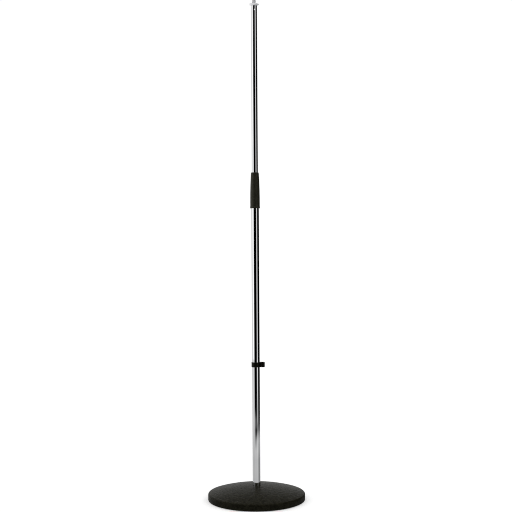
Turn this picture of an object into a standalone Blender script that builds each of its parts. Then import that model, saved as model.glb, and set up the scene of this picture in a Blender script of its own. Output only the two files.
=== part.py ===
"""Floor microphone stand: cast-iron round base, telescopic chromed tube, twist clutch and cable clip.

Run it with blender --background --python part.py, or from Blender's text editor.
Metres, +Z up. The origin is on the floor under the middle of the base, and the front is -Y.
Each moving group is parented to an empty on its joint's axis, and is modelled in that empty's frame.
"""

from math import atan, cos, pi, radians, sin

import bmesh
import bpy
from mathutils import Matrix

MM = 0.001

# Fits
REST_GAP = 0.3 * MM  # between two pieces that touch on the real stand
SLIDE_GAP = 0.2 * MM  # radial, between a sliding piece and its guide

# Round base
BASE_RADIUS = 125 * MM
BASE_LIFT = 1.0 * MM  # the casting stands this far off the floor, on its rubber ring
CROWN_Z = 36.9 * MM  # top of the dome, carried to the axis
SHOULDER_RADIUS = 121 * MM  # where the dome has fallen by DOME_FALL
DOME_FALL = 18.6 * MM
EDGE_ROUND = 4.0 * MM
FOOT_ROUND = 1.5 * MM
SHELL_WALL = 8.0 * MM
RIM_INNER = 109.5 * MM
GROOVE_INNER = 113.2 * MM
GROOVE_OUTER = 119.8 * MM
GROOVE_DEPTH = 3.0 * MM
HUB_RADIUS = 26 * MM
HUB_BOTTOM_Z = 12 * MM
SOCKET_FLOOR_Z = 17 * MM
BOLT_HOLE_RADIUS = 5.6 * MM
RIB_COUNT = 6
RIB_WIDTH = 7 * MM
RIB_BOTTOM_Z = 6 * MM

# Bolt that pulls the tube into the base
BOLT_RADIUS = 4.7 * MM
BOLT_TIP_Z = 34 * MM
HEAD_ACROSS_FLATS = 16 * MM
HEAD_HEIGHT = 5.5 * MM
FLAT_WASHER_RADIUS = 12 * MM
FLAT_WASHER_THICK = 2.0 * MM
SPRING_WASHER_RADIUS = 8.3 * MM
SPRING_WASHER_THICK = 2.2 * MM
SPRING_WASHER_SPLIT = 1.5 * MM

# Lower tube
TUBE_OUTER = 10 * MM
TUBE_INNER = 9 * MM
TUBE_CHAMFER = 0.3 * MM
PLUG_TOP_Z = 38 * MM
PLUG_BORE = 5.0 * MM

# Clutch, with heights from the bottom of its grip
GRIP_Z = 751.6 * MM
GRIP_LENGTH = 92.3 * MM
GRIP_RADIUS = 12.35 * MM
GRIP_TOP_RADIUS = 10.0 * MM
GRIP_TAPER_START = 13.4 * MM
GRIP_TAPER_POWER = 2.2
LIP_RADIUS = 12.65 * MM
LIP_HEIGHT = 5.0 * MM
GRIP_BORE = 10.3 * MM
GRIP_THREAD_BORE = 9.95 * MM
GRIP_CHAMBER = 10.1 * MM
GRIP_NECK_BORE = 8.4 * MM
WIPER_RECESS = 9.2 * MM
TUBE_TOP = 30.4 * MM
NIPPLE_BOTTOM = 5.4 * MM
NIPPLE_TOP = 50.4 * MM
NIPPLE_THREAD = 9.7 * MM
NIPPLE_BORE = 8.2 * MM
NIPPLE_SEAT_DEPTH = 2.0 * MM
NIPPLE_SEAT_RADIUS = 9.4 * MM
COLLET_BORE = 8.15 * MM
COLLET_RADIUS = 9.5 * MM
COLLET_BOTTOM = 49.2 * MM
COLLET_TOP = 63.4 * MM
COLLET_CONE_BOTTOM = 56.4 * MM
COLLET_NOSE = 8.6 * MM
COLLET_SLIT = 1.2 * MM
COLLET_SLIT_BOTTOM = 53 * MM
CONE_RADIUS = 9.8 * MM
CONE_BORE = 8.5 * MM
CONE_BOTTOM = 60.4 * MM
CONE_TOP = 67.4 * MM
THRUST_THICK = 1.0 * MM
GRIP_SHOULDER = 69.0 * MM
WIPER_HEIGHT = 3.4 * MM
PIN_RADIUS = 1.5 * MM
PIN_HEIGHT = 18.4 * MM

# Cable clip, with heights from its middle
CLIP_Z = 348.2 * MM
CLIP_HEIGHT = 12.8 * MM
CLIP_BORE = 10.15 * MM
CLIP_WALL = 1.3 * MM
CLIP_MOUTH = 15 * MM
HOOK_OFFSET = 16.8 * MM
HOOK_BORE = 4.2 * MM
HOOK_WALL = 2.0 * MM
HOOK_MOUTH = 5.6 * MM
CLIP_WEB = 9 * MM

# Upper rod, with heights from its lower end
EXTENSION = 431.1 * MM  # top of the grip to the flange of the threaded end
ROD_LENGTH = 804 * MM
ROD_OUTER = 8 * MM
ROD_INNER = 7 * MM
GUIDE_BOTTOM = 4.0 * MM
GUIDE_HEIGHT = 8.0 * MM
GUIDE_GROOVE = 7.6 * MM
GUIDE_SLIT = 1.2 * MM
END_CAP_THICK = 1.7 * MM
END_PLUG_DEPTH = 12 * MM
END_PLUG_VENT = 2.0 * MM
FLANGE_RADIUS = 12.3 * MM
FLANGE_FOOT_RADIUS = 8.8 * MM  # where the cone under its rim meets the rod
FLANGE_CONE = 2.2 * MM
FLANGE_RIM = 2.0 * MM
SPIGOT_DEPTH = 18 * MM
STAKE_DEPTH = 10.5 * MM  # below the flange, where the rod is punched into the insert
STAKE_DENT = 0.6 * MM
STAKE_BALL = 4.0 * MM
STAKE_COUNT = 3
STAKE_TURN = radians(17.5)  # of the front one, from -Y towards +X

# Threaded stud, 3/8 inch with 16 threads to the inch
STUD_RADIUS = 4.7625 * MM
STUD_PITCH = 1.5875 * MM
STUD_THREAD_DEPTH = 0.86 * MM
STUD_HOLE = 5.1 * MM
STUD_SUNK = 12 * MM
STUD_ABOVE = 11.2 * MM
STUD_TIP_CHAMFER = 1.2 * MM

BASE_SEGMENTS = 60
TUBE_SEGMENTS = 32
STUD_SEGMENTS = 24
HOOK_SEGMENTS = 24

# Name: (colour, roughness, metallic)
FINISHES = {
    "textured_black": ((0.035, 0.035, 0.033), 0.6, 0.0),
    "black_rubber": ((0.02, 0.02, 0.02), 0.85, 0.0),
    "zinc_steel": ((0.62, 0.62, 0.64), 0.35, 1.0),
    "chrome": ((0.83, 0.83, 0.85), 0.06, 1.0),
    "black_nylon": ((0.03, 0.03, 0.028), 0.5, 0.0),
    "white_acetal": ((0.8, 0.8, 0.77), 0.45, 0.0),
    "brass": ((0.72, 0.53, 0.24), 0.3, 1.0),
    "black_felt": ((0.025, 0.025, 0.025), 0.95, 0.0),
}


def clear_scene():
    for old in list(bpy.data.objects):
        bpy.data.objects.remove(old)


def new_collection(name):
    made = bpy.data.collections.new(name)
    bpy.context.scene.collection.children.link(made)
    return made


def finish_of(name):
    """The Principled material of that name, made on first use."""
    found = bpy.data.materials.get(name)
    if found:
        return found
    colour, roughness, metallic = FINISHES[name]
    made = bpy.data.materials.new(name)
    made.use_nodes = True
    shader = made.node_tree.nodes["Principled BSDF"]
    shader.inputs["Base Color"].default_value = (*colour, 1)
    shader.inputs["Roughness"].default_value = roughness
    shader.inputs["Metallic"].default_value = metallic
    made.diffuse_color = (*colour, 1)
    return made


def joint_frame(name, height, parent=None):
    """An empty on the stand's axis, at that height above its parent."""
    empty = bpy.data.objects.new(name, None)
    empty.location = (0, 0, height)
    empty.parent = parent
    parts.objects.link(empty)
    return empty


def add_part(name, mesh, finish, parent):
    piece = bpy.data.objects.new(name, mesh)
    mesh.materials.append(finish_of(finish))
    piece.parent = parent
    parts.objects.link(piece)
    return piece


def turned_mesh(piece, segments):
    """Turns the piece's profile about Z."""
    screw = piece.modifiers.new("Turn", "SCREW")
    screw.axis = "Z"
    screw.angle = 2 * pi
    screw.steps = segments
    screw.render_steps = segments
    screw.use_merge_vertices = True
    screw.merge_threshold = 0.00001
    screw.use_smooth_shade = True


def turned(name, profile, finish, parent, segments=TUBE_SEGMENTS):
    """A turned solid. Its (radius, height) profile runs down the outer side and back up the inner one."""
    mesh = bpy.data.meshes.new(name)
    edges = [(i, i + 1) for i in range(len(profile) - 1)]
    if profile[0][0] > 0:
        edges.append((len(profile) - 1, 0))
    mesh.from_pydata([(radius, 0, height) for radius, height in profile], edges, [])
    piece = add_part(name, mesh, finish, parent)
    turned_mesh(piece, segments)
    return piece


def ring_profile(inner, outer, bottom, top, chamfer=0.0):
    """The section of a plain ring or tube, with its outer edges chamfered."""
    if not chamfer:
        return [(outer, top), (outer, bottom), (inner, bottom), (inner, top)]
    return [
        (outer - chamfer, top),
        (outer, top - chamfer),
        (outer, bottom + chamfer),
        (outer - chamfer, bottom),
        (inner, bottom),
        (inner, top),
    ]


def arc(radius, height, bend, start, end, steps):
    """Points of an arc about (radius, height), from one angle to another, in degrees."""
    angles = [radians(start + (end - start) * i / steps) for i in range(steps + 1)]
    return [(radius + bend * cos(a), height + bend * sin(a)) for a in angles]


def make_helper(name, mesh, parent):
    """A cutter or a shape that a Boolean joins. It isn't a part."""
    helper = bpy.data.objects.new(name, mesh)
    helper.parent = parent
    helper.hide_render = True
    helper.display_type = "WIRE"
    helpers.objects.link(helper)
    return helper


def box_helper(name, size, centre, parent, turn=0.0):
    """A box helper, turned about the stand's axis."""
    mesh = bpy.data.meshes.new(name)
    shape = bmesh.new()
    bmesh.ops.create_cube(shape, size=1.0)
    bmesh.ops.scale(shape, vec=size, verts=shape.verts)
    bmesh.ops.translate(shape, vec=centre, verts=shape.verts)
    bmesh.ops.rotate(shape, cent=(0, 0, 0), matrix=Matrix.Rotation(turn, 3, "Z"), verts=shape.verts)
    shape.to_mesh(mesh)
    shape.free()
    return make_helper(name, mesh, parent)


def cylinder_mesh(name, radius, depth, centre, segments, rotation=None):
    mesh = bpy.data.meshes.new(name)
    shape = bmesh.new()
    bmesh.ops.create_cone(
        shape, cap_ends=True, segments=segments, radius1=radius, radius2=radius, depth=depth
    )
    if rotation:
        bmesh.ops.rotate(shape, cent=(0, 0, 0), matrix=rotation, verts=shape.verts)
    bmesh.ops.translate(shape, vec=centre, verts=shape.verts)
    shape.to_mesh(mesh)
    shape.free()
    return mesh


def combine(piece, helper, operation="DIFFERENCE"):
    boolean = piece.modifiers.new(f"{operation.title()} {helper.name}", "BOOLEAN")
    boolean.operation = operation
    boolean.object = helper


def dome_z(radius):
    """Height of the dome at that radius."""
    return CROWN_Z - DOME_FALL * (radius / SHOULDER_RADIUS) ** 2


def dome_radii(start, end, count):
    return [start + (end - start) * i / (count - 1) for i in range(count)]


def base_profile():
    """Section of the casting: domed shell, thick rim grooved for the ring, and a hub with a socket."""
    edge_radius = BASE_RADIUS - EDGE_ROUND
    slope = atan(2 * DOME_FALL * edge_radius / SHOULDER_RADIUS**2)
    round_start = edge_radius + EDGE_ROUND * sin(slope)
    round_z = dome_z(round_start) - EDGE_ROUND * cos(slope)
    slope_degrees = slope * 180 / pi
    socket = TUBE_OUTER + REST_GAP
    foot_z = BASE_LIFT + FOOT_ROUND
    groove_top = BASE_LIFT + GROOVE_DEPTH
    shell_inner_end = RIM_INNER - 5.5 * MM
    profile = [(socket + 0.6 * MM, dome_z(socket))]
    profile += [(r, dome_z(r)) for r in dome_radii(14 * MM, 118 * MM, 10)]
    profile += arc(edge_radius, round_z, EDGE_ROUND, 90 - slope_degrees, 0, 4)
    profile += arc(BASE_RADIUS - FOOT_ROUND, foot_z, FOOT_ROUND, 0, -90, 2)
    profile += [(GROOVE_OUTER, BASE_LIFT), (GROOVE_OUTER, groove_top)]
    profile += [(GROOVE_INNER, groove_top), (GROOVE_INNER, BASE_LIFT)]
    profile += [(RIM_INNER + 1 * MM, BASE_LIFT), (RIM_INNER, dome_z(RIM_INNER) - SHELL_WALL - 2 * MM)]
    profile += [(r, dome_z(r) - SHELL_WALL) for r in dome_radii(shell_inner_end, 32 * MM, 6)]
    profile += [(HUB_RADIUS + 2 * MM, dome_z(HUB_RADIUS) - SHELL_WALL - 3 * MM)]
    profile += [(HUB_RADIUS, HUB_BOTTOM_Z), (BOLT_HOLE_RADIUS, HUB_BOTTOM_Z)]
    profile += [(BOLT_HOLE_RADIUS, SOCKET_FLOOR_Z), (socket, SOCKET_FLOOR_Z)]
    profile += [(socket, dome_z(socket) - 0.6 * MM)]
    return profile


def rib_helper(index, parent):
    """One radial rib under the dome: a flat, thickened outline that reaches into hub, shell and rim."""
    inner, outer = HUB_RADIUS - 4 * MM, RIM_INNER + 2.5 * MM
    bite = 3 * MM
    outline = [(inner, RIB_BOTTOM_Z), (outer, RIB_BOTTOM_Z), (outer, RIB_BOTTOM_Z + bite)]
    outline += [(r, dome_z(r) - SHELL_WALL + bite) for r in dome_radii(RIM_INNER - 5.5 * MM, inner, 5)]
    curve = bpy.data.curves.new(f"rib_outline_{index}", "CURVE")
    curve.dimensions = "2D"
    curve.fill_mode = "BOTH"
    curve.extrude = RIB_WIDTH / 2
    spline = curve.splines.new("POLY")
    spline.points.add(len(outline) - 1)
    for point, (radius, height) in zip(spline.points, outline):
        point.co = (radius, height, 0, 1)
    spline.use_cyclic_u = True
    flat = bpy.data.objects.new(curve.name, curve)
    helpers.objects.link(flat)
    graph = bpy.context.evaluated_depsgraph_get()
    mesh = bpy.data.meshes.new_from_object(flat.evaluated_get(graph))
    bpy.data.objects.remove(flat)
    shape = bmesh.new()
    shape.from_mesh(mesh)
    bmesh.ops.remove_doubles(shape, verts=shape.verts, dist=0.00001)
    upright = Matrix.Rotation(2 * pi * index / RIB_COUNT, 3, "Z") @ Matrix.Rotation(pi / 2, 3, "X")
    bmesh.ops.rotate(shape, cent=(0, 0, 0), matrix=upright, verts=shape.verts)
    bmesh.ops.recalc_face_normals(shape, faces=shape.faces)
    shape.to_mesh(mesh)
    shape.free()
    return make_helper(f"rib_{index}", mesh, parent)


def make_base(stand):
    casting = turned("base_casting", base_profile(), "textured_black", stand, BASE_SEGMENTS)
    for index in range(RIB_COUNT):
        combine(casting, rib_helper(index, stand), "UNION")

    inner, outer = GROOVE_INNER + REST_GAP, GROOVE_OUTER - REST_GAP
    top = BASE_LIFT + GROOVE_DEPTH - REST_GAP
    bead = 0.8 * MM
    profile = [(outer, top)]
    profile += arc(outer - bead, bead, bead, 0, -90, 2)
    profile += arc(inner + bead, bead, bead, -90, -180, 2)
    profile += [(inner, top)]
    turned("noise_ring", profile, "black_rubber", stand, BASE_SEGMENTS)


def make_base_bolt(stand):
    """The bolt and its two washers, stacked down from the underside of the hub."""
    washer_hole = BOLT_RADIUS + 0.5 * MM
    top = HUB_BOTTOM_Z - REST_GAP
    bottom = top - FLAT_WASHER_THICK
    turned("flat_washer", ring_profile(washer_hole, FLAT_WASHER_RADIUS, bottom, top), "zinc_steel", stand)

    top = bottom - REST_GAP
    bottom = top - SPRING_WASHER_THICK
    profile = ring_profile(washer_hole, SPRING_WASHER_RADIUS, bottom, top)
    spring = turned("spring_washer", profile, "zinc_steel", stand)
    split_size = (SPRING_WASHER_RADIUS, SPRING_WASHER_SPLIT, 2 * SPRING_WASHER_THICK)
    split_centre = (SPRING_WASHER_RADIUS, 0, (top + bottom) / 2)
    combine(spring, box_helper("washer_split", split_size, split_centre, stand, radians(40)))

    top = bottom - REST_GAP
    head_middle = top - HEAD_HEIGHT / 2
    head_radius = HEAD_ACROSS_FLATS / 2 / cos(pi / 6)
    head = cylinder_mesh("base_bolt", head_radius, HEAD_HEIGHT, (0, 0, head_middle), 6)
    bolt = add_part("base_bolt", head, "zinc_steel", stand)
    shank_length = BOLT_TIP_Z - head_middle
    shank_middle = (BOLT_TIP_Z + head_middle) / 2
    shank = cylinder_mesh("bolt_shank", BOLT_RADIUS, shank_length, (0, 0, shank_middle), 24)
    combine(bolt, make_helper("bolt_shank", shank, stand), "UNION")


def make_lower_tube(stand):
    bottom = SOCKET_FLOOR_Z + REST_GAP
    profile = ring_profile(TUBE_INNER, TUBE_OUTER, bottom, GRIP_Z + TUBE_TOP, TUBE_CHAMFER)
    tube = turned("lower_tube", profile, "chrome", stand)
    profile = ring_profile(PLUG_BORE, TUBE_INNER - SLIDE_GAP, bottom, PLUG_TOP_Z, 0.6 * MM)
    turned("foot_plug", profile, "zinc_steel", stand)
    return tube


def make_clamp_seat(clutch, tube):
    """What stays on the lower tube inside the grip: threaded nipple, its two pins, and the slit collet."""
    seat = NIPPLE_TOP - NIPPLE_SEAT_DEPTH
    shoulder = TUBE_TOP + REST_GAP
    spigot = TUBE_INNER - SLIDE_GAP
    profile = [(NIPPLE_SEAT_RADIUS, NIPPLE_TOP), (NIPPLE_THREAD, NIPPLE_TOP - 0.3 * MM)]
    profile += [(NIPPLE_THREAD, shoulder), (spigot, shoulder), (spigot, NIPPLE_BOTTOM)]
    profile += [(NIPPLE_BORE, NIPPLE_BOTTOM), (NIPPLE_BORE, seat)]
    nipple = turned("clutch_nipple", profile, "brass", clutch)

    across = Matrix.Rotation(pi / 2, 3, "X")
    pin_inner, pin_outer = NIPPLE_BORE + SLIDE_GAP, TUBE_OUTER - 0.1 * MM
    pin_length = pin_outer - pin_inner
    for name, side in (("nipple_pin_front", -1), ("nipple_pin_back", 1)):
        centre = (0, side * (pin_inner + pin_outer) / 2, PIN_HEIGHT)
        pin = cylinder_mesh(name, PIN_RADIUS, pin_length, centre, 16, across)
        add_part(name, pin, "zinc_steel", clutch)
    hole = cylinder_mesh(
        "pin_hole", PIN_RADIUS + SLIDE_GAP, 4 * TUBE_OUTER, (0, 0, PIN_HEIGHT), 16, across
    )
    drill = make_helper("pin_hole", hole, clutch)
    combine(nipple, drill)
    combine(tube, drill)

    profile = [(COLLET_NOSE, COLLET_TOP), (COLLET_RADIUS, COLLET_CONE_BOTTOM)]
    profile += [(COLLET_RADIUS, COLLET_BOTTOM + 1.9 * MM), (COLLET_BORE + SLIDE_GAP, COLLET_BOTTOM)]
    profile += [(COLLET_BORE, COLLET_BOTTOM), (COLLET_BORE, COLLET_TOP)]
    collet = turned("clamp_collet", profile, "white_acetal", clutch)
    slit_height = COLLET_TOP - COLLET_SLIT_BOTTOM + 1 * MM
    size = (4 * COLLET_RADIUS, COLLET_SLIT, slit_height)
    centre = (0, 0, COLLET_SLIT_BOTTOM + slit_height / 2)
    for index in range(2):
        slit = box_helper(f"collet_slit_{index}", size, centre, clutch, radians(45 + 90 * index))
        combine(collet, slit)


def make_clamp_ring(clamp):
    """The cone that squeezes the collet, and the washer that the grip turns against."""
    collet_slope = (COLLET_RADIUS - COLLET_NOSE) / (COLLET_TOP - COLLET_CONE_BOTTOM)
    mouth = COLLET_RADIUS - collet_slope * (CONE_BOTTOM - COLLET_CONE_BOTTOM) + REST_GAP
    profile = [(CONE_RADIUS, CONE_TOP), (CONE_RADIUS, CONE_BOTTOM), (mouth, CONE_BOTTOM)]
    profile += [(COLLET_NOSE + REST_GAP, COLLET_TOP), (CONE_BORE, COLLET_TOP + 2 * MM)]
    profile += [(CONE_BORE, CONE_TOP)]
    turned("clamp_cone", profile, "zinc_steel", clamp)
    bottom = CONE_TOP + REST_GAP
    profile = ring_profile(CONE_BORE, CONE_RADIUS, bottom, bottom + THRUST_THICK)
    turned("thrust_washer", profile, "white_acetal", clamp)


def grip_radius(height):
    """Outer radius of the grip: straight at the bottom, then drawn in towards the top."""
    share = max(0.0, (height - GRIP_TAPER_START) / (GRIP_LENGTH - GRIP_TAPER_START))
    return GRIP_TOP_RADIUS + (GRIP_RADIUS - GRIP_TOP_RADIUS) * (1 - share**GRIP_TAPER_POWER)


def make_grip(grip):
    round_top, count = 0.7 * MM, 11
    start = GRIP_LENGTH - round_top
    step = (start - LIP_HEIGHT) / (count - 1)
    heights = [start - step * i for i in range(count)]
    recess = GRIP_LENGTH - WIPER_HEIGHT - 2 * REST_GAP
    thread_start, thread_end = TUBE_TOP + REST_GAP, NIPPLE_TOP + REST_GAP
    profile = [(WIPER_RECESS, GRIP_LENGTH), (grip_radius(start) - round_top, GRIP_LENGTH)]
    profile += [(grip_radius(height), height) for height in heights]
    profile += [(LIP_RADIUS, LIP_HEIGHT - 0.5 * MM), (LIP_RADIUS, 0.8 * MM), (LIP_RADIUS - 0.8 * MM, 0)]
    profile += [(GRIP_BORE, 0), (GRIP_BORE, thread_start), (GRIP_THREAD_BORE, thread_start)]
    profile += [(GRIP_THREAD_BORE, thread_end), (GRIP_CHAMBER, thread_end)]
    profile += [(GRIP_CHAMBER, GRIP_SHOULDER), (GRIP_NECK_BORE, GRIP_SHOULDER)]
    profile += [(GRIP_NECK_BORE, recess), (WIPER_RECESS, recess)]
    turned("clutch_grip", profile, "black_nylon", grip)
    wiper_bottom = recess + REST_GAP
    profile = ring_profile(
        ROD_OUTER + SLIDE_GAP, WIPER_RECESS - REST_GAP, wiper_bottom, wiper_bottom + WIPER_HEIGHT
    )
    turned("wiper_ring", profile, "black_felt", grip)


def make_clip(frame):
    """A ring round the tube and, on its +X side, a smaller one for a cable. Both open to the back."""
    ring_outer, hook_outer = CLIP_BORE + CLIP_WALL, HOOK_BORE + HOOK_WALL
    cut_height = 2 * CLIP_HEIGHT
    body = cylinder_mesh("cable_clip", ring_outer, CLIP_HEIGHT, (0, 0, 0), TUBE_SEGMENTS)
    clip = add_part("cable_clip", body, "black_nylon", frame)
    hook = cylinder_mesh("hook_body", hook_outer, CLIP_HEIGHT, (HOOK_OFFSET, 0, 0), HOOK_SEGMENTS)
    combine(clip, make_helper("hook_body", hook, frame), "UNION")
    web_size = (HOOK_OFFSET - CLIP_BORE, CLIP_WEB, CLIP_HEIGHT)
    web_centre = ((HOOK_OFFSET + CLIP_BORE) / 2, 0, 0)
    combine(clip, box_helper("clip_web", web_size, web_centre, frame), "UNION")
    bore = cylinder_mesh("clip_bore", CLIP_BORE, cut_height, (0, 0, 0), TUBE_SEGMENTS)
    combine(clip, make_helper("clip_bore", bore, frame))
    hook_bore = cylinder_mesh("hook_bore", HOOK_BORE, cut_height, (HOOK_OFFSET, 0, 0), HOOK_SEGMENTS)
    combine(clip, make_helper("hook_bore", hook_bore, frame))
    mouths = (
        ("clip_mouth", CLIP_MOUTH, 0, 2 * ring_outer),
        ("hook_mouth", HOOK_MOUTH, HOOK_OFFSET, 2 * hook_outer),
    )
    for name, width, offset, reach in mouths:
        mouth = box_helper(name, (width, reach, cut_height), (offset, reach / 2, 0), frame)
        combine(clip, mouth)


def make_guide_ring(guide):
    """The split ring that sits in the rod's groove and slides in the lower tube."""
    bottom, top = GUIDE_BOTTOM, GUIDE_BOTTOM + GUIDE_HEIGHT
    profile = ring_profile(GUIDE_GROOVE + SLIDE_GAP, TUBE_INNER - SLIDE_GAP, bottom, top, 0.3 * MM)
    ring = turned("guide_ring", profile, "white_acetal", guide)
    size = (2 * TUBE_INNER, GUIDE_SLIT, 2 * GUIDE_HEIGHT)
    centre = (-TUBE_INNER, 0, (bottom + top) / 2)
    combine(ring, box_helper("guide_slit", size, centre, guide, radians(-30)))


def make_upper_rod(rod):
    groove_bottom, groove_top = GUIDE_BOTTOM - REST_GAP, GUIDE_BOTTOM + GUIDE_HEIGHT + REST_GAP
    edge = TUBE_CHAMFER
    profile = [(ROD_OUTER - edge, ROD_LENGTH), (ROD_OUTER, ROD_LENGTH - edge)]
    profile += [(ROD_OUTER, groove_top), (GUIDE_GROOVE, groove_top)]
    profile += [(GUIDE_GROOVE, groove_bottom), (ROD_OUTER, groove_bottom)]
    profile += [(ROD_OUTER, edge), (ROD_OUTER - edge, 0), (ROD_INNER, 0), (ROD_INNER, ROD_LENGTH)]
    tube = turned("upper_rod", profile, "chrome", rod)

    ball_distance = ROD_OUTER - STAKE_DENT + STAKE_BALL
    stake_height = ROD_LENGTH + REST_GAP - STAKE_DEPTH
    for index in range(STAKE_COUNT):
        angle = STAKE_TURN - pi / 2 + 2 * pi * index / STAKE_COUNT
        shape = bmesh.new()
        bmesh.ops.create_uvsphere(shape, u_segments=20, v_segments=12, radius=STAKE_BALL)
        centre = (ball_distance * cos(angle), ball_distance * sin(angle), stake_height)
        bmesh.ops.translate(shape, vec=centre, verts=shape.verts)
        mesh = bpy.data.meshes.new(f"stake_{index}")
        shape.to_mesh(mesh)
        shape.free()
        combine(tube, make_helper(f"stake_{index}", mesh, rod))

    cap_top = -REST_GAP
    plug = ROD_INNER - SLIDE_GAP
    profile = [(plug - edge, END_PLUG_DEPTH), (plug, END_PLUG_DEPTH - edge), (plug, cap_top)]
    profile += [(ROD_OUTER - SLIDE_GAP, cap_top), (ROD_OUTER - SLIDE_GAP, cap_top - END_CAP_THICK)]
    profile += [(END_PLUG_VENT, cap_top - END_CAP_THICK), (END_PLUG_VENT, END_PLUG_DEPTH)]
    turned("rod_end_plug", profile, "black_nylon", rod)


def make_threaded_end(rod):
    """The flanged insert in the top of the rod, and the stud that a microphone clip screws on."""
    flange_bottom = ROD_LENGTH + REST_GAP
    rim_bottom = flange_bottom + FLANGE_CONE
    flange_top = rim_bottom + FLANGE_RIM
    spigot = ROD_INNER - SLIDE_GAP
    groove, half_groove = spigot - 0.5 * MM, 2 * MM
    groove_middle = flange_bottom - STAKE_DEPTH
    hole_bottom = flange_top - STUD_SUNK
    edge = 0.5 * MM
    profile = [(FLANGE_RADIUS - edge, flange_top), (FLANGE_RADIUS, flange_top - edge)]
    profile += [(FLANGE_RADIUS, rim_bottom), (FLANGE_FOOT_RADIUS, flange_bottom)]
    profile += [(spigot, flange_bottom), (spigot, groove_middle + half_groove)]
    profile += [(groove, groove_middle + half_groove), (groove, groove_middle - half_groove)]
    profile += [(spigot, groove_middle - half_groove), (spigot, flange_bottom - SPIGOT_DEPTH)]
    profile += [(STUD_HOLE / 2, flange_bottom - SPIGOT_DEPTH), (STUD_HOLE / 2, hole_bottom)]
    profile += [(STUD_HOLE, hole_bottom), (STUD_HOLE, flange_top)]
    turned("thread_insert", profile, "zinc_steel", rod)

    tip = flange_top + STUD_ABOVE
    root = STUD_RADIUS - STUD_THREAD_DEPTH
    profile = [(0, tip), (STUD_RADIUS - STUD_TIP_CHAMFER, tip)]
    crest = tip - STUD_TIP_CHAMFER
    while crest - STUD_PITCH > flange_top:
        profile += [(STUD_RADIUS, crest), (STUD_RADIUS, crest - STUD_PITCH / 8)]
        profile += [(root, crest - STUD_PITCH / 2), (root, crest - 5 * STUD_PITCH / 8)]
        crest -= STUD_PITCH
    bottom = hole_bottom + REST_GAP
    profile += [(STUD_RADIUS, crest), (STUD_RADIUS, bottom + edge)]
    profile += [(STUD_RADIUS - edge, bottom), (0, bottom)]
    turned("thread_stud", profile, "zinc_steel", rod, STUD_SEGMENTS)


clear_scene()
parts = new_collection("microphone_stand")
helpers = new_collection("helpers")
stand_frame = joint_frame("stand", 0)
clutch_frame = joint_frame("clutch", GRIP_Z, stand_frame)
clamp_frame = joint_frame("clamp_travel", 0, clutch_frame)
grip_frame = joint_frame("grip_turn", 0, clamp_frame)
clip_frame = joint_frame("clip_slide", CLIP_Z, stand_frame)
rod_bottom = GRIP_Z + GRIP_LENGTH + EXTENSION - REST_GAP - ROD_LENGTH
guide_frame = joint_frame("rod_slide", rod_bottom, stand_frame)
rod_frame = joint_frame("rod_turn", 0, guide_frame)

make_base(stand_frame)
make_base_bolt(stand_frame)
lower_tube = make_lower_tube(stand_frame)
make_clamp_seat(clutch_frame, lower_tube)
make_clamp_ring(clamp_frame)
make_grip(grip_frame)
make_clip(clip_frame)
make_guide_ring(guide_frame)
make_upper_rod(rod_frame)
make_threaded_end(rod_frame)
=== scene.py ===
"""Looks of the straight microphone stand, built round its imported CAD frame, in metres.

Each visible piece is made in mesh code where its CAD node is, and rides on that node's body. Pieces hidden
inside keep their CAD shapes and get worked materials. The studio is white, with glowing walls and floor rings
that only reflections see, so that the chrome has the stripes of polished tube. Diffuse rays see a dimmer
world than the camera does, and each lamp lights only what is linked to it, so that the blacks stay black.
"""

from math import acos, asin, atan, ceil, cos, pi, radians, sin, tan

import bmesh
import bpy
from mathutils import Matrix, Vector


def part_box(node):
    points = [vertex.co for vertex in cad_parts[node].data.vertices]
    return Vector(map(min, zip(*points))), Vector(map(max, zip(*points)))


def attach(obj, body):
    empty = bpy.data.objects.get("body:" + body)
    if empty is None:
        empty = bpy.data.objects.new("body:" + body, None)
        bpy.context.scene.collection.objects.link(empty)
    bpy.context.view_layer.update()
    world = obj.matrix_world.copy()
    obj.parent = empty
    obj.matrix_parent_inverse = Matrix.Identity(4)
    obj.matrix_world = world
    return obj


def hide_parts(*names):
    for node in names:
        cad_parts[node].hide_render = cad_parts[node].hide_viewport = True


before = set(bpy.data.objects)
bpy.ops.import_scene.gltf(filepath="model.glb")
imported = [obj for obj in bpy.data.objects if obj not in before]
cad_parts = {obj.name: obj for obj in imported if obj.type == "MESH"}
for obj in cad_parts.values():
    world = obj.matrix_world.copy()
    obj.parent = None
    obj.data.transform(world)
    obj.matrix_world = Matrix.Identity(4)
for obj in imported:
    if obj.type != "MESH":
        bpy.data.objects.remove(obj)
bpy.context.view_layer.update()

MM = 0.001

# Roundings of small edges
BREAK = 0.3 * MM
FINE_BREAK = 0.2 * MM
HAIR_BREAK = 0.1 * MM

NEAR = 0.1 * MM  # two radii closer than this belong to the same surface

# Sides of the turned pieces
BASE_SEGMENTS = 240
RING_SEGMENTS = 200
TUBE_SEGMENTS = 128
ROD_SEGMENTS = 160
SMALL_SEGMENTS = 96
STUD_SEGMENTS = 72
WAVE_SEGMENTS = 8  # for each flute or knurl

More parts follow.
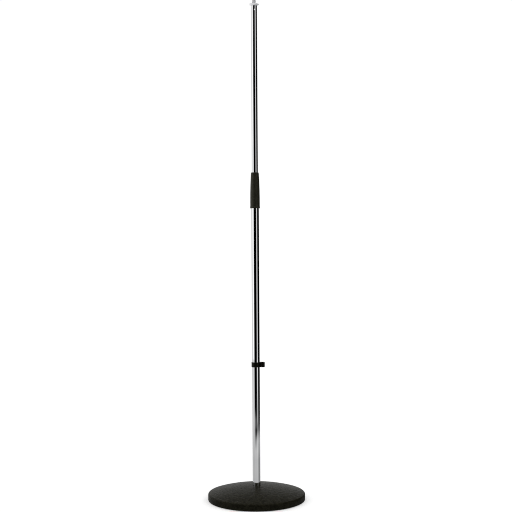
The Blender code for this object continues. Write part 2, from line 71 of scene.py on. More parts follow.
# Casting
DOME_CROWN = 36.9 * MM
DOME_FALL = 18.6 * MM
DOME_START = 14 * MM  # radius of the dome's first ring outside the socket
DOME_RINGS = 30
SHOULDER_RADIUS = 121 * MM
SHOULDER_RUN = 7.5 * MM  # from the dome's last ring to the edge
EDGE_ROUND = 4.0 * MM
FOOT_ROUND = 1.5 * MM
SHELL_WALL = 8.0 * MM
SHELL_START = 32 * MM
SHELL_RINGS = 14
SOCKET_GAP = 0.3 * MM
SOCKET_FLOOR = 17 * MM
SOCKET_ROUND = 0.7 * MM
HUB_RADIUS = 26 * MM
HUB_BOTTOM = 12 * MM
HUB_FLARE = 2 * MM
HUB_FLARE_DROP = 3 * MM
HUB_FLARE_ROUND = 1.5 * MM
HUB_ROUND = 0.8 * MM
BOLT_HOLE = 5.6 * MM
RIM_INNER = 109.5 * MM
RIM_FLARE = 1 * MM
RIM_ROUND = 2 * MM
RIM_FOOT_ROUND = 0.8 * MM
RIM_RUN = 5.5 * MM  # from the shell's last ring to the rim
GROOVE_DEPTH = 3.0 * MM
GROOVE_WIDTH = 6.6 * MM
GROOVE_GAP = 0.3 * MM
GROOVE_ROUND = 0.4 * MM
RIB_COUNT = 6
RIB_HALF = 3.5 * MM
RIB_BOTTOM = 6 * MM
RIB_BITE = 3 * MM  # how far the ribs reach into the casting
RIB_RIM_BITE = 2.5 * MM
RIB_HUB_BITE = 4 * MM
RIB_RINGS = 8

# Rubber ring, with a slot along its underside
PAD_WIDTH = 6.0 * MM
PAD_ROUND = 0.8 * MM
SLOT_MOUTH = 0.9 * MM
SLOT_TOP = 0.5 * MM
SLOT_DEPTH = 0.5 * MM

# Bolt and washer
SHANK_RADIUS = 4.7 * MM
SHANK_CHAMFER = 0.8 * MM
HEAD_CHAMFER = 1.3 * MM
HEAD_CHAMFER_SHARE = 0.6  # of the chamfer's width, for its height
WASHER_GAP = 0.5 * MM
WASHER_ROUND = 0.4 * MM

# Tubes
TUBE_WALL = 1.0 * MM
TUBE_LIP = 0.4 * MM
GUIDE_GROOVE = 0.4 * MM
GUIDE_SPAN = (3.7 * MM, 12.3 * MM)
STAKE_DROP = 11.0 * MM  # from the rod's top end to the middle of a punch mark
STAKE_RADIUS = 2.1 * MM
STAKE_MARGIN = 1.2 * MM
STAKE_RINGS = 23
STAKE_DENT = 0.6 * MM
STAKE_POWER = 1.25
STAKE_COUNT = 3
STAKE_TURN = radians(17.5)

# Grip, with heights from its bottom
GRIP_TOP_RADIUS = 10.0 * MM
GRIP_RADIUS = 12.35 * MM
GRIP_TAPER_START = 13.4 * MM
GRIP_TAPER_POWER = 2.2
GRIP_RINGS = 44
GRIP_LIP = 5.0 * MM
LIP_STEP = 0.5 * MM
LIP_ROUND = 0.4 * MM
LIP_INSET = 0.1 * MM
LIP_FOOT_ROUND = 0.8 * MM
GRIP_COLLAR = 3.6 * MM
COLLAR_ROUND = 0.7 * MM
COLLAR_FOOT_ROUND = 0.15 * MM
COLLAR_GROOVE = 0.25 * MM
COLLAR_GROOVE_DROPS = (0.2 * MM, 0.5 * MM)
BARREL_DROP = 0.7 * MM  # from the collar to the barrel's first ring
BARREL_RISE = 0.6 * MM  # from the lip to its last ring
# Heights and radii of the steps in its bore, in millimetres
GRIP_BORES = [
    (0, 10.3), (30.7, 10.3), (30.7, 9.95), (50.7, 9.95), (50.7, 10.1), (69.0, 10.1), (69.0, 8.4),
]
GRIP_RECESS = (88.3, 8.4, 9.2)  # height of the wiper's recess, and the radii below and in it
FLUTE_COUNT = 40
FLUTE_DEPTH = 0.16 * MM
FLUTE_DROP = 1.0 * MM  # from the collar
FLUTE_RISE = 1.2 * MM  # from the lip
FLUTE_FADE = 3 * MM
BORE_REACH = 10.15 * MM  # the flutes leave smaller radii alone
WIPER_GAP = 0.2 * MM

# Cable clip
RING_BORE = 10.15 * MM
RING_WALL = 1.3 * MM
RING_MOUTH = 7.5 * MM
HOOK_OFFSET = 16.8 * MM
HOOK_BORE = 4.2 * MM
HOOK_WALL = 2.0 * MM
HOOK_MOUTH = 2.8 * MM
WEB_HALF = 4.5 * MM
CLIP_ROUND = 0.4 * MM

# Threaded end
FLANGE_CONE = 2.2 * MM
FLANGE_FOOT = 8.8 * MM
FLANGE_ROUND = 0.45 * MM
SPIGOT_RADIUS = 6.8 * MM
SPIGOT_ROUND = 0.5 * MM
INSERT_BORE = 2.55 * MM
INSERT_HOLE = 5.1 * MM
HOLE_ROUND = 0.15 * MM
STUD_SUNK = 12 * MM
STUD_CHAMFER = 0.5 * MM
KNURL_COUNT = 60
KNURL_DEPTH = 0.3 * MM
KNURL_BAND = 0.5 * MM  # radii further in from the rim aren't knurled
THREAD_PITCH = 25.4 / 16 * MM
THREAD_RINGS = 16  # to a pitch
THREAD_DEPTH = 0.9 * MM
THREAD_CREST = 0.0625  # half of its crest, and one flank, as shares of the pitch
THREAD_FLANK = 0.3125
THREAD_LEAD = 2.0 * MM  # how much the tip is narrowed, and over what height

# Camera, found from the stand's size in the view
CAMERA_AT = (0.0018, -2.514, 0.6285)
CAMERA_ROLL = radians(0.32)
SENSOR = 36.0
LENS = 68.45

# Studio
WALL_RADIUS = 3.4
WALL_TOP = 2.7
WALL_HAZE = 0.016  # added to the walls' radiance above these two heights
HAZE_HEIGHTS = (1.7, 2.0)
HIGH_TOP = 7.0
HIGH_RADIANCE = 0.03
HIGH_SPAN = (100, 260)
MAT_HEIGHT = 0.0005
WORLD_STRENGTH = 1.03
DIFFUSE_STRENGTH = 0.2575  # the world's, for diffuse rays
FLOOR_GLOW = 0.3
FLOOR_SIZE = 60
FLOOR_SOFTNESS = 14
WALL_SOFTNESS = 9
FILTER_WIDTH = 1.0  # crisper edges than the usual filter gives
# Name, power, width in degrees, place, and the objects that it lights
LAMPS = [
    ("floor_lamp", 1.65, 150, (0.0, 0.0, 3.0), ("floor",)),
    ("base_lamp", 0.82, 36, (0.0, 0.6, 3.0), ("cast_base",)),
    ("front_lamp", 6.0, 150, (0.0, -3.0, -0.4), ("knurled_flange", "threaded_stud")),
    ("back_lamp", 6.0, 150, (0.0, 3.0, -0.4), ("knurled_flange", "threaded_stud")),
]
# Distances from the stand at which each sector gives its floor radiance
FLOOR_RINGS = (0.005, 0.5, 0.65, 0.82, 0.92, 1.01, 1.12, 1.23, 1.35, 1.5, 2.0, 3.4)
# Start in degrees from the front towards +X, wall radiance, floor radiances
SECTORS = [
    (-163, 0.72, 0.55, 0.55, 0.57, 0.59, 0.6, 0.61, 0.62, 0.63, 0.64, 0.65, 0.65, 0.65),
    (-88, 1.15, 0.5, 0.5, 0.54, 0.59, 0.62, 0.64, 0.67, 0.7, 0.73, 0.75, 0.75, 0.75),
    (-46.5, 0.0, 0.52, 0.55, 0.58, 0.33, 0.17, 0.1, 0.18, 0.18, 0.08, 0.0, 0.0, 0.0),
    (-8, 0.0, 0.52, 0.55, 0.58, 0.36, 0.07, 0.02, 0.1, 0.08, 0.03, 0.02, 0.0, 0.0),
    (33, 0.78, 0.55, 0.6, 0.75, 0.8, 0.65, 0.32, 0.3, 0.52, 0.55, 0.55, 0.8, 0.95),
    (59, 0.0, 0.22, 0.27, 0.36, 0.4, 0.3, 0.17, 0.09, 0.05, 0.04, 0.03, 0.0, 0.0),
    (148, 0.12, 0.4, 0.4, 0.36, 0.3, 0.27, 0.24, 0.21, 0.18, 0.14, 0.12, 0.12, 0.12),
    (163, 0.85, 0.7, 0.7, 0.73, 0.75, 0.77, 0.78, 0.8, 0.82, 0.84, 0.85, 0.85, 0.85),
]


# Profiles


def rounded(corners, step=radians(15)):
    """A profile whose (radius, height, rounding) corners are rounded."""
    points = []
    for index, (radius, height, bend) in enumerate(corners):
        corner = Vector((radius, height))
        if not bend:
            points.append(corner)
            continue
        before = (Vector(corners[index - 1][:2]) - corner).normalized()
        after = (Vector(corners[(index + 1) % len(corners)][:2]) - corner).normalized()
        half = before.angle(after) / 2
        centre = corner + (before + after).normalized() * bend / sin(half)
        first = corner + before * bend / tan(half) - centre
        last = corner + after * bend / tan(half) - centre
        sweep = first.angle(last)
        steps = max(2, ceil(sweep / step))
        for count in range(steps + 1):
            share = count / steps
            turned = first * sin((1 - share) * sweep) + last * sin(share * sweep)
            points.append(centre + turned / sin(sweep))
    return points


def supported(points, closed, longest=4 * MM, reach=0.35 * MM):
    """The profile with a point near both ends of each long side, so that its shading stays straight."""
    made = []
    for index, point in enumerate(points):
        made.append(point)
        if index == len(points) - 1 and not closed:
            break
        following = points[(index + 1) % len(points)]
        side = following - point
        if side.length > longest:
            made.append(point + side.normalized() * reach)
            made.append(following - side.normalized() * reach)
    return made


def lathe(profile, segments, reshape=None):
    """A turned solid as a bmesh. reshape(radius, angle, height) may change a point's radius."""
    profile = [Vector(point) for point in profile]
    closed = profile[0].x > 0
    shape = bmesh.new()
    rings = []
    for radius, height in supported(profile, closed):
        if radius < 1e-7:
            rings.append([shape.verts.new((0, 0, height))])
            continue
        ring = []
        for index in range(segments):
            angle = 2 * pi * index / segments
            reach = reshape(radius, angle, height) if reshape else radius
            ring.append(shape.verts.new((reach * cos(angle), reach * sin(angle), height)))
        rings.append(ring)
    bands = list(zip(rings, rings[1:]))
    if closed:
        bands.append((rings[-1], rings[0]))
    for upper, lower in bands:
        for index in range(segments):
            other = (index + 1) % segments
            corners = [upper[index % len(upper)], lower[index % len(lower)]]
            corners += [lower[other % len(lower)], upper[other % len(upper)]]
            shape.faces.new(list(dict.fromkeys(corners)))
    bmesh.ops.recalc_face_normals(shape, faces=shape.faces)
    if shape.calc_volume(signed=True) < 0:
        bmesh.ops.reverse_faces(shape, faces=shape.faces)
    return shape


def add_piece(name, shape, finish, slot, body, *replaced, sharp=radians(35)):
    """Makes the object, shades it, ties it to its body and hides the CAD nodes that it replaces."""
    mesh = bpy.data.meshes.new(name)
    shape.to_mesh(mesh)
    shape.free()
    mesh.shade_smooth()
    mesh.set_sharp_from_angle(angle=sharp)
    mesh.materials.append(finish)
    piece = bpy.data.objects.new(name, mesh)
    looks.objects.link(piece)
    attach(piece, body)
    if replaced:
        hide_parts(*replaced)
    return piece


# Materials


class Finish:
    """A Principled material, and short ways to wire grain and wear into it."""

    def __init__(self, name, metallic=0.0, specular=0.5):
        self.material = bpy.data.materials.new(name)
        self.material.use_nodes = True
        self.nodes = self.material.node_tree.nodes
        self.links = self.material.node_tree.links
        self.shader = self.nodes["Principled BSDF"]
        self.shader.inputs["Metallic"].default_value = metallic
        self.shader.inputs["Specular IOR Level"].default_value = specular
        self.place = self.nodes.new("ShaderNodeTexCoord").outputs["Object"]
        self.normal = None

    def mapped(self, grain, stretch):
        mapping = self.nodes.new("ShaderNodeMapping")
        mapping.inputs["Scale"].default_value = [share / grain for share in stretch]
        self.links.new(self.place, mapping.inputs["Vector"])
        return mapping.outputs["Vector"]

    def noise(self, grain, detail=3.0, stretch=(1, 1, 1)):
        """Cloudy noise, with blobs about grain across."""
        texture = self.nodes.new("ShaderNodeTexNoise")
        texture.inputs["Scale"].default_value = 1.0
        texture.inputs["Detail"].default_value = detail
        self.links.new(self.mapped(grain, stretch), texture.inputs["Vector"])
        return texture.outputs[0]

    def ramp(self, value, *stops):
        """Maps a value to a colour or grey, through (place, colour) stops."""
        ramp = self.nodes.new("ShaderNodeValToRGB")
        band = ramp.color_ramp
        while len(band.elements) < len(stops):
            band.elements.new(0.5)
        for element, (place, colour) in zip(band.elements, stops):
            element.position = place
            shade = colour if isinstance(colour, tuple) else (colour, colour, colour)
            element.color = (*shade, 1)
        self.links.new(value, ramp.inputs["Fac"])
        return ramp.outputs["Color"]

    def mix(self, share, first, second):
        """Mixes two colour outputs by a value output."""
        node = self.nodes.new("ShaderNodeMix")
        node.data_type = "RGBA"
        self.links.new(share, node.inputs[0])
        self.links.new(first, node.inputs[6])
        self.links.new(second, node.inputs[7])
        return node.outputs[2]

    def bump(self, height, depth, strength=1.0):
        node = self.nodes.new("ShaderNodeBump")
        node.inputs["Distance"].default_value = depth
        node.inputs["Strength"].default_value = strength
        self.links.new(height, node.inputs["Height"])
        if self.normal:
            self.links.new(self.normal, node.inputs["Normal"])
        self.normal = node.outputs["Normal"]

    def done(self, colour, roughness):
        """Wires the colour, roughness and bump outputs, and returns the material."""
        self.links.new(colour, self.shader.inputs["Base Color"])
        self.links.new(roughness, self.shader.inputs["Roughness"])
        if self.normal:
            self.links.new(self.normal, self.shader.inputs["Normal"])
        return self.material


def textured_black():
    """Black textured powder coat over cast iron."""
    finish = Finish("textured_black_paint", specular=0.038)
    wrinkle = finish.noise(grain=1.4 * MM, detail=4.0)
    patch = finish.noise(grain=8 * MM, detail=3.0)
    finish.bump(wrinkle, depth=0.22 * MM)
    finish.bump(patch, depth=1.0 * MM)
    worn = finish.ramp(wrinkle, (0.4, (0.0072, 0.0068, 0.0036)), (0.6, (0.0232, 0.0216, 0.0128)))
    dusty = finish.ramp(wrinkle, (0.4, (0.0136, 0.0128, 0.0072)), (0.6, (0.0392, 0.0368, 0.0232)))
    colour = finish.mix(finish.ramp(patch, (0.4, 0.0), (0.6, 1.0)), worn, dusty)
    return finish.done(colour, finish.ramp(wrinkle, (0.4, 0.48), (0.6, 0.32)))


def chrome():
    """Chrome plate: nearly a mirror, with faint haze and hairline scratches along the tube."""
    finish = Finish("chrome_plate", metallic=1.0)
    haze = finish.noise(grain=35 * MM, detail=3.0)
    hairlines = finish.noise(grain=0.5 * MM, detail=2.0, stretch=(1, 1, 0.02))
    finish.bump(finish.noise(grain=14 * MM, detail=1.0, stretch=(1, 1, 0.35)), depth=0.004 * MM, strength=0.5)
    colour = finish.ramp(haze, (0.3, (0.80, 0.81, 0.82)), (0.7, (0.86, 0.86, 0.865)))
    smooth = finish.ramp(haze, (0.35, 0.02), (0.7, 0.035))
    scratched = finish.ramp(hairlines, (0.62, 0.03), (0.75, 0.08))
    return finish.done(colour, finish.mix(hairlines, smooth, scratched))


def plated(name, shade, rough, metallic=1.0):
    """Zinc or nickel plate on machined steel, slightly clouded. Dull plate is less metallic."""
    finish = Finish(name, metallic=metallic)
    cloud = finish.noise(grain=4 * MM, detail=4.0)
    marks = finish.noise(grain=0.25 * MM, detail=2.0, stretch=(0.15, 0.15, 1))
    finish.bump(marks, depth=0.01 * MM, strength=0.6)
    tint = (1.0, 1.0, 1.02)
    dark, light = (tuple(level * share for share in tint) for level in (shade * 0.85, shade * 1.08))
    colour = finish.ramp(cloud, (0.3, dark), (0.7, light))
    return finish.done(colour, finish.ramp(cloud, (0.3, rough + 0.08), (0.7, rough - 0.05)))


def nylon(name, shade, specular, rough, grain, depth):
    """Black moulded nylon with a spark-eroded grain."""
    finish = Finish(name, specular=specular)
    finish.shader.inputs["Specular Tint"].default_value = (1.0, 0.98, 0.8, 1.0)
    texture = finish.noise(grain, detail=4.0)
    cloud = finish.noise(grain=12 * MM, detail=2.0)
    finish.bump(texture, depth)
    dark, light = ((shade * share, shade * share * 0.95, shade * share * 0.6) for share in (0.7, 1.4))
    grainy = finish.ramp(texture, (0.3, dark), (0.7, light))
    colour = finish.mix(cloud, grainy, finish.ramp(cloud, (0.3, light), (0.7, dark)))
    return finish.done(colour, finish.ramp(texture, (0.3, rough + 0.06), (0.7, rough - 0.06)))


def rubber():
    """Black rubber with dust in its pores."""
    finish = Finish("ring_rubber", specular=0.35)
    pores = finish.noise(grain=0.7 * MM, detail=5.0)
    dust = finish.noise(grain=7 * MM, detail=4.0)
    finish.bump(pores, depth=0.05 * MM)
    colour = finish.ramp(dust, (0.45, (0.012, 0.012, 0.012)), (0.8, (0.045, 0.043, 0.04)))
    return finish.done(colour, finish.ramp(pores, (0.3, 0.92), (0.7, 0.74)))


def acetal():
    """White acetal, slightly greasy."""
    finish = Finish("slide_acetal", specular=0.5)
    cloud = finish.noise(grain=5 * MM, detail=3.0)
    finish.bump(finish.noise(grain=0.6 * MM, detail=2.0), depth=0.01 * MM)
    colour = finish.ramp(cloud, (0.3, (0.74, 0.73, 0.69)), (0.7, (0.82, 0.82, 0.79)))
    return finish.done(colour, finish.ramp(cloud, (0.3, 0.5), (0.7, 0.34)))


def brass():
    """Turned brass with tool marks round it."""
    finish = Finish("turned_brass", metallic=1.0)
    marks = finish.noise(grain=0.3 * MM, detail=2.0, stretch=(0.1, 0.1, 1))
    cloud = finish.noise(grain=6 * MM, detail=3.0)
    finish.bump(marks, depth=0.012 * MM, strength=0.7)
    colour = finish.ramp(cloud, (0.3, (0.62, 0.43, 0.18)), (0.7, (0.76, 0.57, 0.28)))
    return finish.done(colour, finish.ramp(marks, (0.3, 0.34), (0.7, 0.24)))


def felt():
    """Black wool felt: short fibres in all directions."""
    finish = Finish("wiper_felt", specular=0.2)
    finish.shader.inputs["Sheen Weight"].default_value = 0.4
    fibres = finish.noise(grain=0.35 * MM, detail=6.0, stretch=(1, 1, 0.4))
    finish.bump(fibres, depth=0.12 * MM)
    colour = finish.ramp(fibres, (0.3, (0.008, 0.008, 0.008)), (0.7, (0.035, 0.035, 0.035)))
    return finish.done(colour, finish.ramp(fibres, (0.3, 1.0), (0.7, 0.85)))


# Pieces


def dome(radius):
    """Height of the top of the casting at that radius."""
    return DOME_CROWN - DOME_FALL * (radius / SHOULDER_RADIUS) ** 2


def dome_points(start, end, count, drop=0.0):
    radii = [start + (end - start) * index / (count - 1) for index in range(count)]
    return [(radius, dome(radius) - drop, 0) for radius in radii]


def base_ribs():
    """The radial ribs under the dome, as one mesh of separate prisms that reach into the casting."""
    inner, outer = HUB_RADIUS - RIB_HUB_BITE, RIM_INNER + RIB_RIM_BITE
    outline = [(inner, RIB_BOTTOM), (outer, RIB_BOTTOM), (outer, RIB_BOTTOM + RIB_BITE)]
    roof = dome_points(RIM_INNER - RIM_RUN, inner, RIB_RINGS, SHELL_WALL - RIB_BITE)
    outline += [(radius, height) for radius, height, _ in roof]
    shape = bmesh.new()
    for index in range(RIB_COUNT):
        turn = Matrix.Rotation(2 * pi * index / RIB_COUNT, 4, "Z")
        sides = []
        for half in (-RIB_HALF, RIB_HALF):
            corners = [turn @ Vector((radius, half, height)) for radius, height in outline]
            sides.append([shape.verts.new(corner) for corner in corners])
        shape.faces.new(sides[0])
        shape.faces.new(sides[1])
        for place in range(len(outline)):
            after = (place + 1) % len(outline)
            shape.faces.new([sides[0][place], sides[0][after], sides[1][after], sides[1][place]])
    bmesh.ops.recalc_face_normals(shape, faces=shape.faces)
    return shape


def joined(shape, other):
    """The union of two shapes, as a bmesh."""
    objects = []
    for part in (shape, other):
        mesh = bpy.data.meshes.new("union")
        part.to_mesh(mesh)
        part.free()
        objects.append(bpy.data.objects.new("union", mesh))
        bpy.context.scene.collection.objects.link(objects[-1])
    union = objects[0].modifiers.new("Union", "BOOLEAN")
    union.operation = "UNION"
    union.object = objects[1]
    graph = bpy.context.evaluated_depsgraph_get()
    mesh = bpy.data.meshes.new_from_object(objects[0].evaluated_get(graph))
    for part in objects:
        bpy.data.objects.remove(part)
    result = bmesh.new()
    result.from_mesh(mesh)
    return result


def make_base():
    low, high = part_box("base_casting")
    radius, foot = high.x, low.z
    tube_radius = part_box("lower_tube")[1].x
    socket = tube_radius + SOCKET_GAP
    edge_radius = radius - EDGE_ROUND
    slope = atan(2 * DOME_FALL * edge_radius / SHOULDER_RADIUS**2)
    shoulder = radius - SHOULDER_RUN
    groove_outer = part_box("noise_ring")[1].x + GROOVE_GAP
    groove_inner = groove_outer - GROOVE_WIDTH
    groove_top = foot + GROOVE_DEPTH
    corners = [(socket, dome(socket), SOCKET_ROUND)]
    corners += dome_points(DOME_START, shoulder, DOME_RINGS)
    corners += [(radius, dome(shoulder) - SHOULDER_RUN * tan(slope), EDGE_ROUND)]
    corners += [(radius, foot, FOOT_ROUND), (groove_outer, foot, BREAK)]
    corners += [(groove_outer, groove_top, GROOVE_ROUND), (groove_inner, groove_top, GROOVE_ROUND)]
    corners += [(groove_inner, foot, BREAK), (RIM_INNER + RIM_FLARE, foot, RIM_FOOT_ROUND)]
    corners += [(RIM_INNER, dome(RIM_INNER) - SHELL_WALL - RIM_ROUND, RIM_ROUND)]
    corners += dome_points(RIM_INNER - RIM_RUN, SHELL_START, SHELL_RINGS, SHELL_WALL)
    flare_top = dome(HUB_RADIUS) - SHELL_WALL - HUB_FLARE_DROP
    corners += [(HUB_RADIUS + HUB_FLARE, flare_top, HUB_FLARE_ROUND)]
    corners += [(HUB_RADIUS, HUB_BOTTOM, HUB_ROUND), (BOLT_HOLE, HUB_BOTTOM, BREAK)]
    corners += [(BOLT_HOLE, SOCKET_FLOOR, 0), (socket, SOCKET_FLOOR, 0)]
    shape = joined(lathe(rounded(corners), BASE_SEGMENTS), base_ribs())
    add_piece("cast_base", shape, black_paint, "textured_black", "stand", "base_casting")


def make_ring():
    low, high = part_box("noise_ring")
    outer = high.x
    inner = outer - PAD_WIDTH
    middle = (inner + outer) / 2
    slot_top = low.z + SLOT_DEPTH
    corners = [(outer, high.z, BREAK), (outer, low.z, PAD_ROUND)]
    corners += [(middle + SLOT_MOUTH, low.z, FINE_BREAK), (middle + SLOT_TOP, slot_top, FINE_BREAK)]
    corners += [(middle - SLOT_TOP, slot_top, FINE_BREAK), (middle - SLOT_MOUTH, low.z, FINE_BREAK)]
    corners += [(inner, low.z, PAD_ROUND), (inner, high.z, BREAK)]
    shape = lathe(rounded(corners), RING_SEGMENTS)
    add_piece("rubber_ring", shape, ring_rubber, "black_rubber", "stand", "noise_ring")


def make_bolt():
    low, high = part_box("base_bolt")
    across = high.x - low.x
    head_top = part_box("spring_washer")[0].z - SOCKET_GAP
    shank = SHANK_RADIUS
    head = across / 2 / cos(pi / 6)

    def hexagon(radius, angle, height):
        if radius < shank + NEAR:
            return radius
        flat = across / 2 / cos((angle + pi / 6) % (pi / 3) - pi / 6)
        return radius * flat / head if height > head_top - HEAD_CHAMFER else min(radius, flat)

    profile = [(0, high.z), (shank - SHANK_CHAMFER, high.z), (shank, high.z - SHANK_CHAMFER)]
    profile += [(shank, head_top), (head, head_top), (head, low.z + HEAD_CHAMFER * HEAD_CHAMFER_SHARE)]
    profile += [(head - HEAD_CHAMFER, low.z), (0, low.z)]
    shape = lathe(profile, SMALL_SEGMENTS, hexagon)
    add_piece("hex_bolt", shape, plated_zinc, "zinc_steel", "stand", "base_bolt")

    low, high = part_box("flat_washer")
    hole = shank + WASHER_GAP
    corners = [(high.x, high.z, BREAK), (high.x, low.z, WASHER_ROUND)]
    corners += [(hole, low.z, FINE_BREAK), (hole, high.z, FINE_BREAK)]
    shape = lathe(rounded(corners), SMALL_SEGMENTS)
    add_piece("plain_washer", shape, plated_zinc, "zinc_steel", "stand", "flat_washer")


def make_lower_tube():
    low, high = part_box("lower_tube")
    outer = high.x
    inner = outer - TUBE_WALL
    corners = [(outer, high.z, TUBE_LIP), (outer, low.z, TUBE_LIP)]
    corners += [(inner, low.z, FINE_BREAK), (inner, high.z, FINE_BREAK)]
    shape = lathe(rounded(corners), TUBE_SEGMENTS)
    add_piece("chrome_tube", shape, chrome_plate, "chrome", "stand", "lower_tube")


def make_upper_rod():
    """The rod, with the groove of its guide ring and the punch marks that hold its threaded end."""
    low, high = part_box("upper_rod")
    outer = high.x
    inner = outer - TUBE_WALL
    stake_height = high.z - STAKE_DROP
    groove_low, groove_high = (low.z + height for height in GUIDE_SPAN)
    corners = [(outer, high.z, BREAK)]
    reach = STAKE_RADIUS + STAKE_MARGIN
    drops = [2 * reach * index / (STAKE_RINGS - 1) for index in range(STAKE_RINGS)]
    corners += [(outer, stake_height + reach - drop, 0) for drop in drops]
    corners += [(outer, groove_high, HAIR_BREAK), (outer - GUIDE_GROOVE, groove_high, 0)]
    corners += [(outer - GUIDE_GROOVE, groove_low, 0), (outer, groove_low, HAIR_BREAK)]
    corners += [(outer, low.z, BREAK), (inner, low.z, FINE_BREAK), (inner, high.z, FINE_BREAK)]

    def punched(radius, angle, height):
        if radius < outer - NEAR / 2:
            return radius
        for index in range(STAKE_COUNT):
            stake = STAKE_TURN - pi / 2 + 2 * pi * index / STAKE_COUNT
            apart = (angle - stake + pi) % (2 * pi) - pi
            share = ((outer * apart) ** 2 + (height - stake_height) ** 2) / STAKE_RADIUS**2
            if share < 1:
                return radius - STAKE_DENT * (1 - share) ** STAKE_POWER
        return radius

    shape = lathe(rounded(corners), ROD_SEGMENTS, punched)
    add_piece("chrome_rod", shape, chrome_plate, "chrome", "rod", "upper_rod")


def grip_radius(height, length):
    """Radius of the grip's taper at that height from its bottom."""
    share = max(0.0, (height - GRIP_TAPER_START) / (length - GRIP_TAPER_START))
    return GRIP_TOP_RADIUS + (GRIP_RADIUS - GRIP_TOP_RADIUS) * (1 - share**GRIP_TAPER_POWER)


def make_grip():
    """The tapered grip, fluted between a plain collar at the top and a lip at the bottom."""
    low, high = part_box("clutch_grip")
    length, lip = high.z - low.z, high.x
    recess, neck, mouth = (value * MM for value in GRIP_RECESS)
    collar = length - GRIP_COLLAR
    collar_radius = grip_radius(collar, length)
    flutes_low, flutes_high = GRIP_LIP + FLUTE_RISE, collar - FLUTE_DROP
    corners = [(mouth, length, HAIR_BREAK), (GRIP_TOP_RADIUS, length, COLLAR_ROUND)]
    corners += [(collar_radius, collar, COLLAR_FOOT_ROUND)]
    corners += [(collar_radius - COLLAR_GROOVE, collar - drop, 0) for drop in COLLAR_GROOVE_DROPS]
    start, end = collar - BARREL_DROP, GRIP_LIP + BARREL_RISE
    heights = [start + (end - start) * index / (GRIP_RINGS - 1) for index in range(GRIP_RINGS)]
    corners += [(grip_radius(height, length), height, 0) for height in heights]
    corners += [(GRIP_RADIUS - LIP_INSET, GRIP_LIP, BREAK), (lip, GRIP_LIP - LIP_STEP, LIP_ROUND)]
    corners += [(lip, 0, LIP_FOOT_ROUND)]
    corners += [(radius * MM, height * MM, 0) for height, radius in GRIP_BORES]
    corners += [(neck, recess, 0), (mouth, recess, 0)]

    def fluted(radius, angle, height):
        place = height - low.z
        if radius < BORE_REACH or not flutes_low < place < flutes_high:
            return radius
        fade = min(1.0, (place - flutes_low) / FLUTE_FADE, (flutes_high - place) / FLUTE_FADE)
        return radius - FLUTE_DEPTH * fade * (0.5 + 0.5 * cos(FLUTE_COUNT * angle)) ** 2

    profile = [(radius, low.z + height) for radius, height in rounded(corners)]
    shape = lathe(profile, FLUTE_COUNT * WAVE_SEGMENTS, fluted)
    add_piece("clutch_sleeve", shape, grip_nylon, "black_nylon", "grip", "clutch_grip")

    low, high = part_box("wiper_ring")
    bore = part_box("upper_rod")[1].x + WIPER_GAP
    corners = [(high.x, high.z, BREAK), (high.x, low.z, BREAK)]
    corners += [(bore, low.z, BREAK), (bore, high.z, BREAK)]
    shape = lathe(rounded(corners), SMALL_SEGMENTS)
    add_piece("felt_wiper", shape, wiper_felt, "black_felt", "grip", "wiper_ring")


def arc(centre, radius, start, end, step=radians(5)):
    """Points of an arc in the plane, between two angles."""
    steps = max(2, ceil(abs(end - start) / step))
    angles = [start + (end - start) * index / steps for index in range(steps + 1)]
    return [(centre + radius * cos(angle), radius * sin(angle)) for angle in angles]


def clip_outline():
    """Outline of the clip seen from above: a ring for the tube and a hook for the cable, both open to +Y."""
    ring, hook = RING_BORE + RING_WALL, HOOK_BORE + HOOK_WALL
    hook_far, hook_near = acos(-HOOK_MOUTH / HOOK_BORE), acos(HOOK_MOUTH / HOOK_BORE) + 2 * pi
    web_ring, web_hook = asin(WEB_HALF / ring), pi - asin(WEB_HALF / hook)
    points = arc(0, ring, acos(RING_MOUTH / ring), web_ring)
    points += arc(HOOK_OFFSET, hook, web_hook, acos(-HOOK_MOUTH / hook))
    points += arc(HOOK_OFFSET, HOOK_BORE, hook_far, hook_near)
    points += arc(HOOK_OFFSET, hook, acos(HOOK_MOUTH / hook), -web_hook)
    points += arc(0, ring, -web_ring, acos(-RING_MOUTH / ring) - 2 * pi)
    points += arc(0, RING_BORE, acos(-RING_MOUTH / RING_BORE), acos(RING_MOUTH / RING_BORE) + 2 * pi)
    return points


def make_clip():
    low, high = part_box("cable_clip")
    shape = bmesh.new()
    bottom = shape.faces.new([shape.verts.new((x, y, low.z)) for x, y in clip_outline()])
    raised = bmesh.ops.extrude_face_region(shape, geom=[bottom])["geom"]
    corners = [item for item in raised if isinstance(item, bmesh.types.BMVert)]
    bmesh.ops.translate(shape, vec=(0, 0, high.z - low.z), verts=corners)
    bmesh.ops.recalc_face_normals(shape, faces=shape.faces)
    caps = [face for face in shape.faces if abs(face.normal.z) > 0.9]
    rims = list({edge for face in caps for edge in face.edges})
    bmesh.ops.bevel(shape, geom=rims, offset=CLIP_ROUND, segments=3, profile=0.5, affect="EDGES")
    add_piece("cable_snap_clip", shape, clip_nylon, "black_nylon", "clip", "cable_clip")


